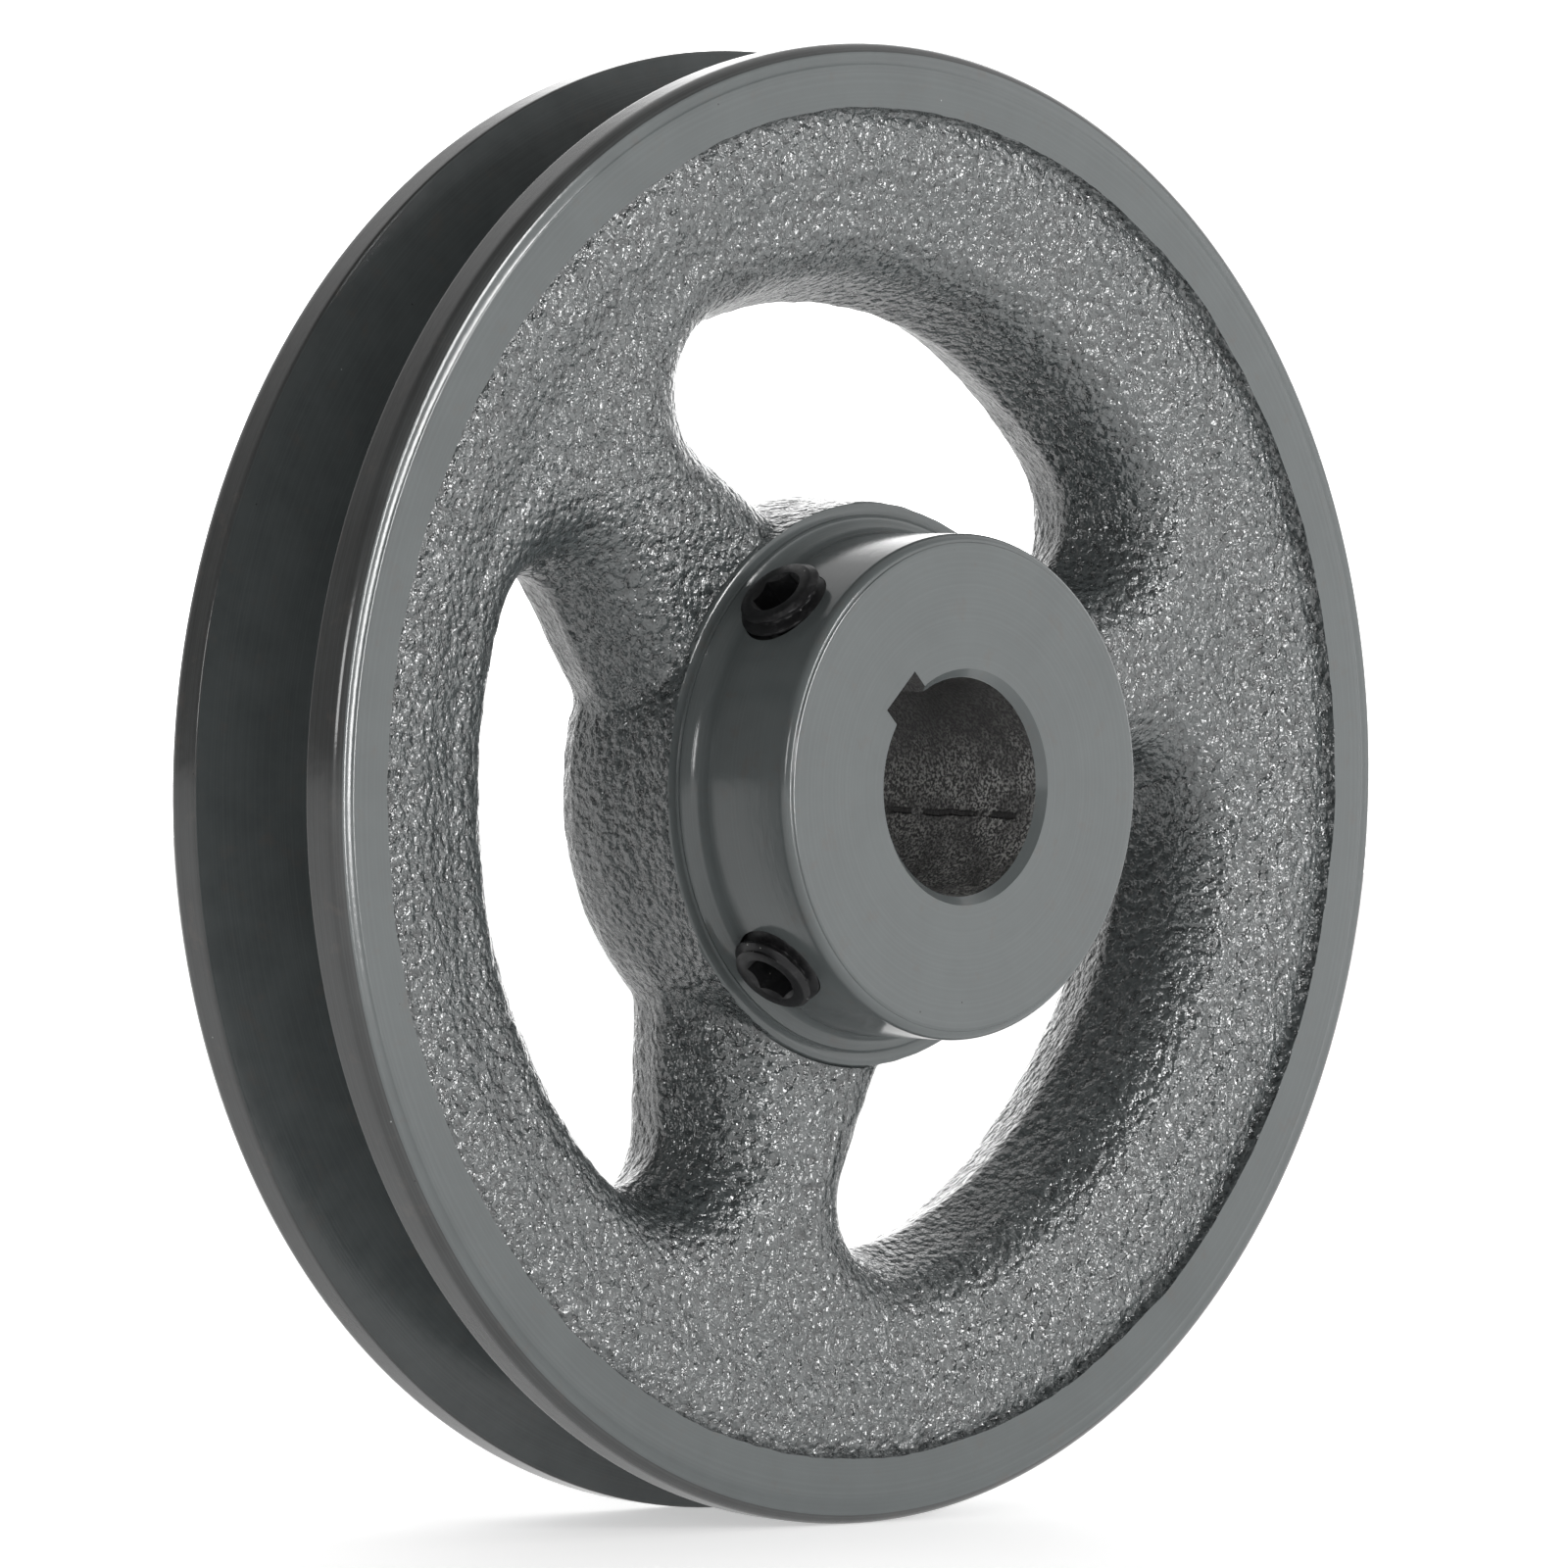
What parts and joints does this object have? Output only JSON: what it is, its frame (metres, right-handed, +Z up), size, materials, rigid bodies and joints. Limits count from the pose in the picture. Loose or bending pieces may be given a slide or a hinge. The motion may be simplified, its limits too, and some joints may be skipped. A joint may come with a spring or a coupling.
{
  "type": "v-belt pulley",
  "caption": "Cast iron V-belt pulley with an armed web, a keyed bore and socket set screws in its projecting hub.",
  "frame": {"origin": "on the bore's axis, in the middle of the belt groove and of the rim's width", "axes": "+Y along the bore, from the hub's nose towards the back face; +Z up; +X across"},
  "size_m": [0.1296, 0.0307, 0.1296],
  "materials": {
    "painted_casting": "satin grey paint over turned and sand-cast surfaces",
    "black_steel": "black oxide"
  },
  "bodies": {
    "casting": {"pulley_casting": "painted_casting"},
    "screw_over_keyway": {"set_screw_over_keyway": "black_steel"},
    "screw_beside_keyway": {"set_screw_beside_keyway": "black_steel"}
  },
  "joints": [
    {"name": "screw_over_keyway_travel", "type": "slide", "parent": "casting", "child": "screw_over_keyway", "axis": [-0.7218, 0, 0.6921], "range_m": [-0.0023, 0.0065]},
    {"name": "screw_beside_keyway_travel", "type": "slide", "parent": "casting", "child": "screw_beside_keyway", "axis": [-0.6921, 0, -0.7218], "range_m": [-0.0045, 0.0065]}
  ]
}
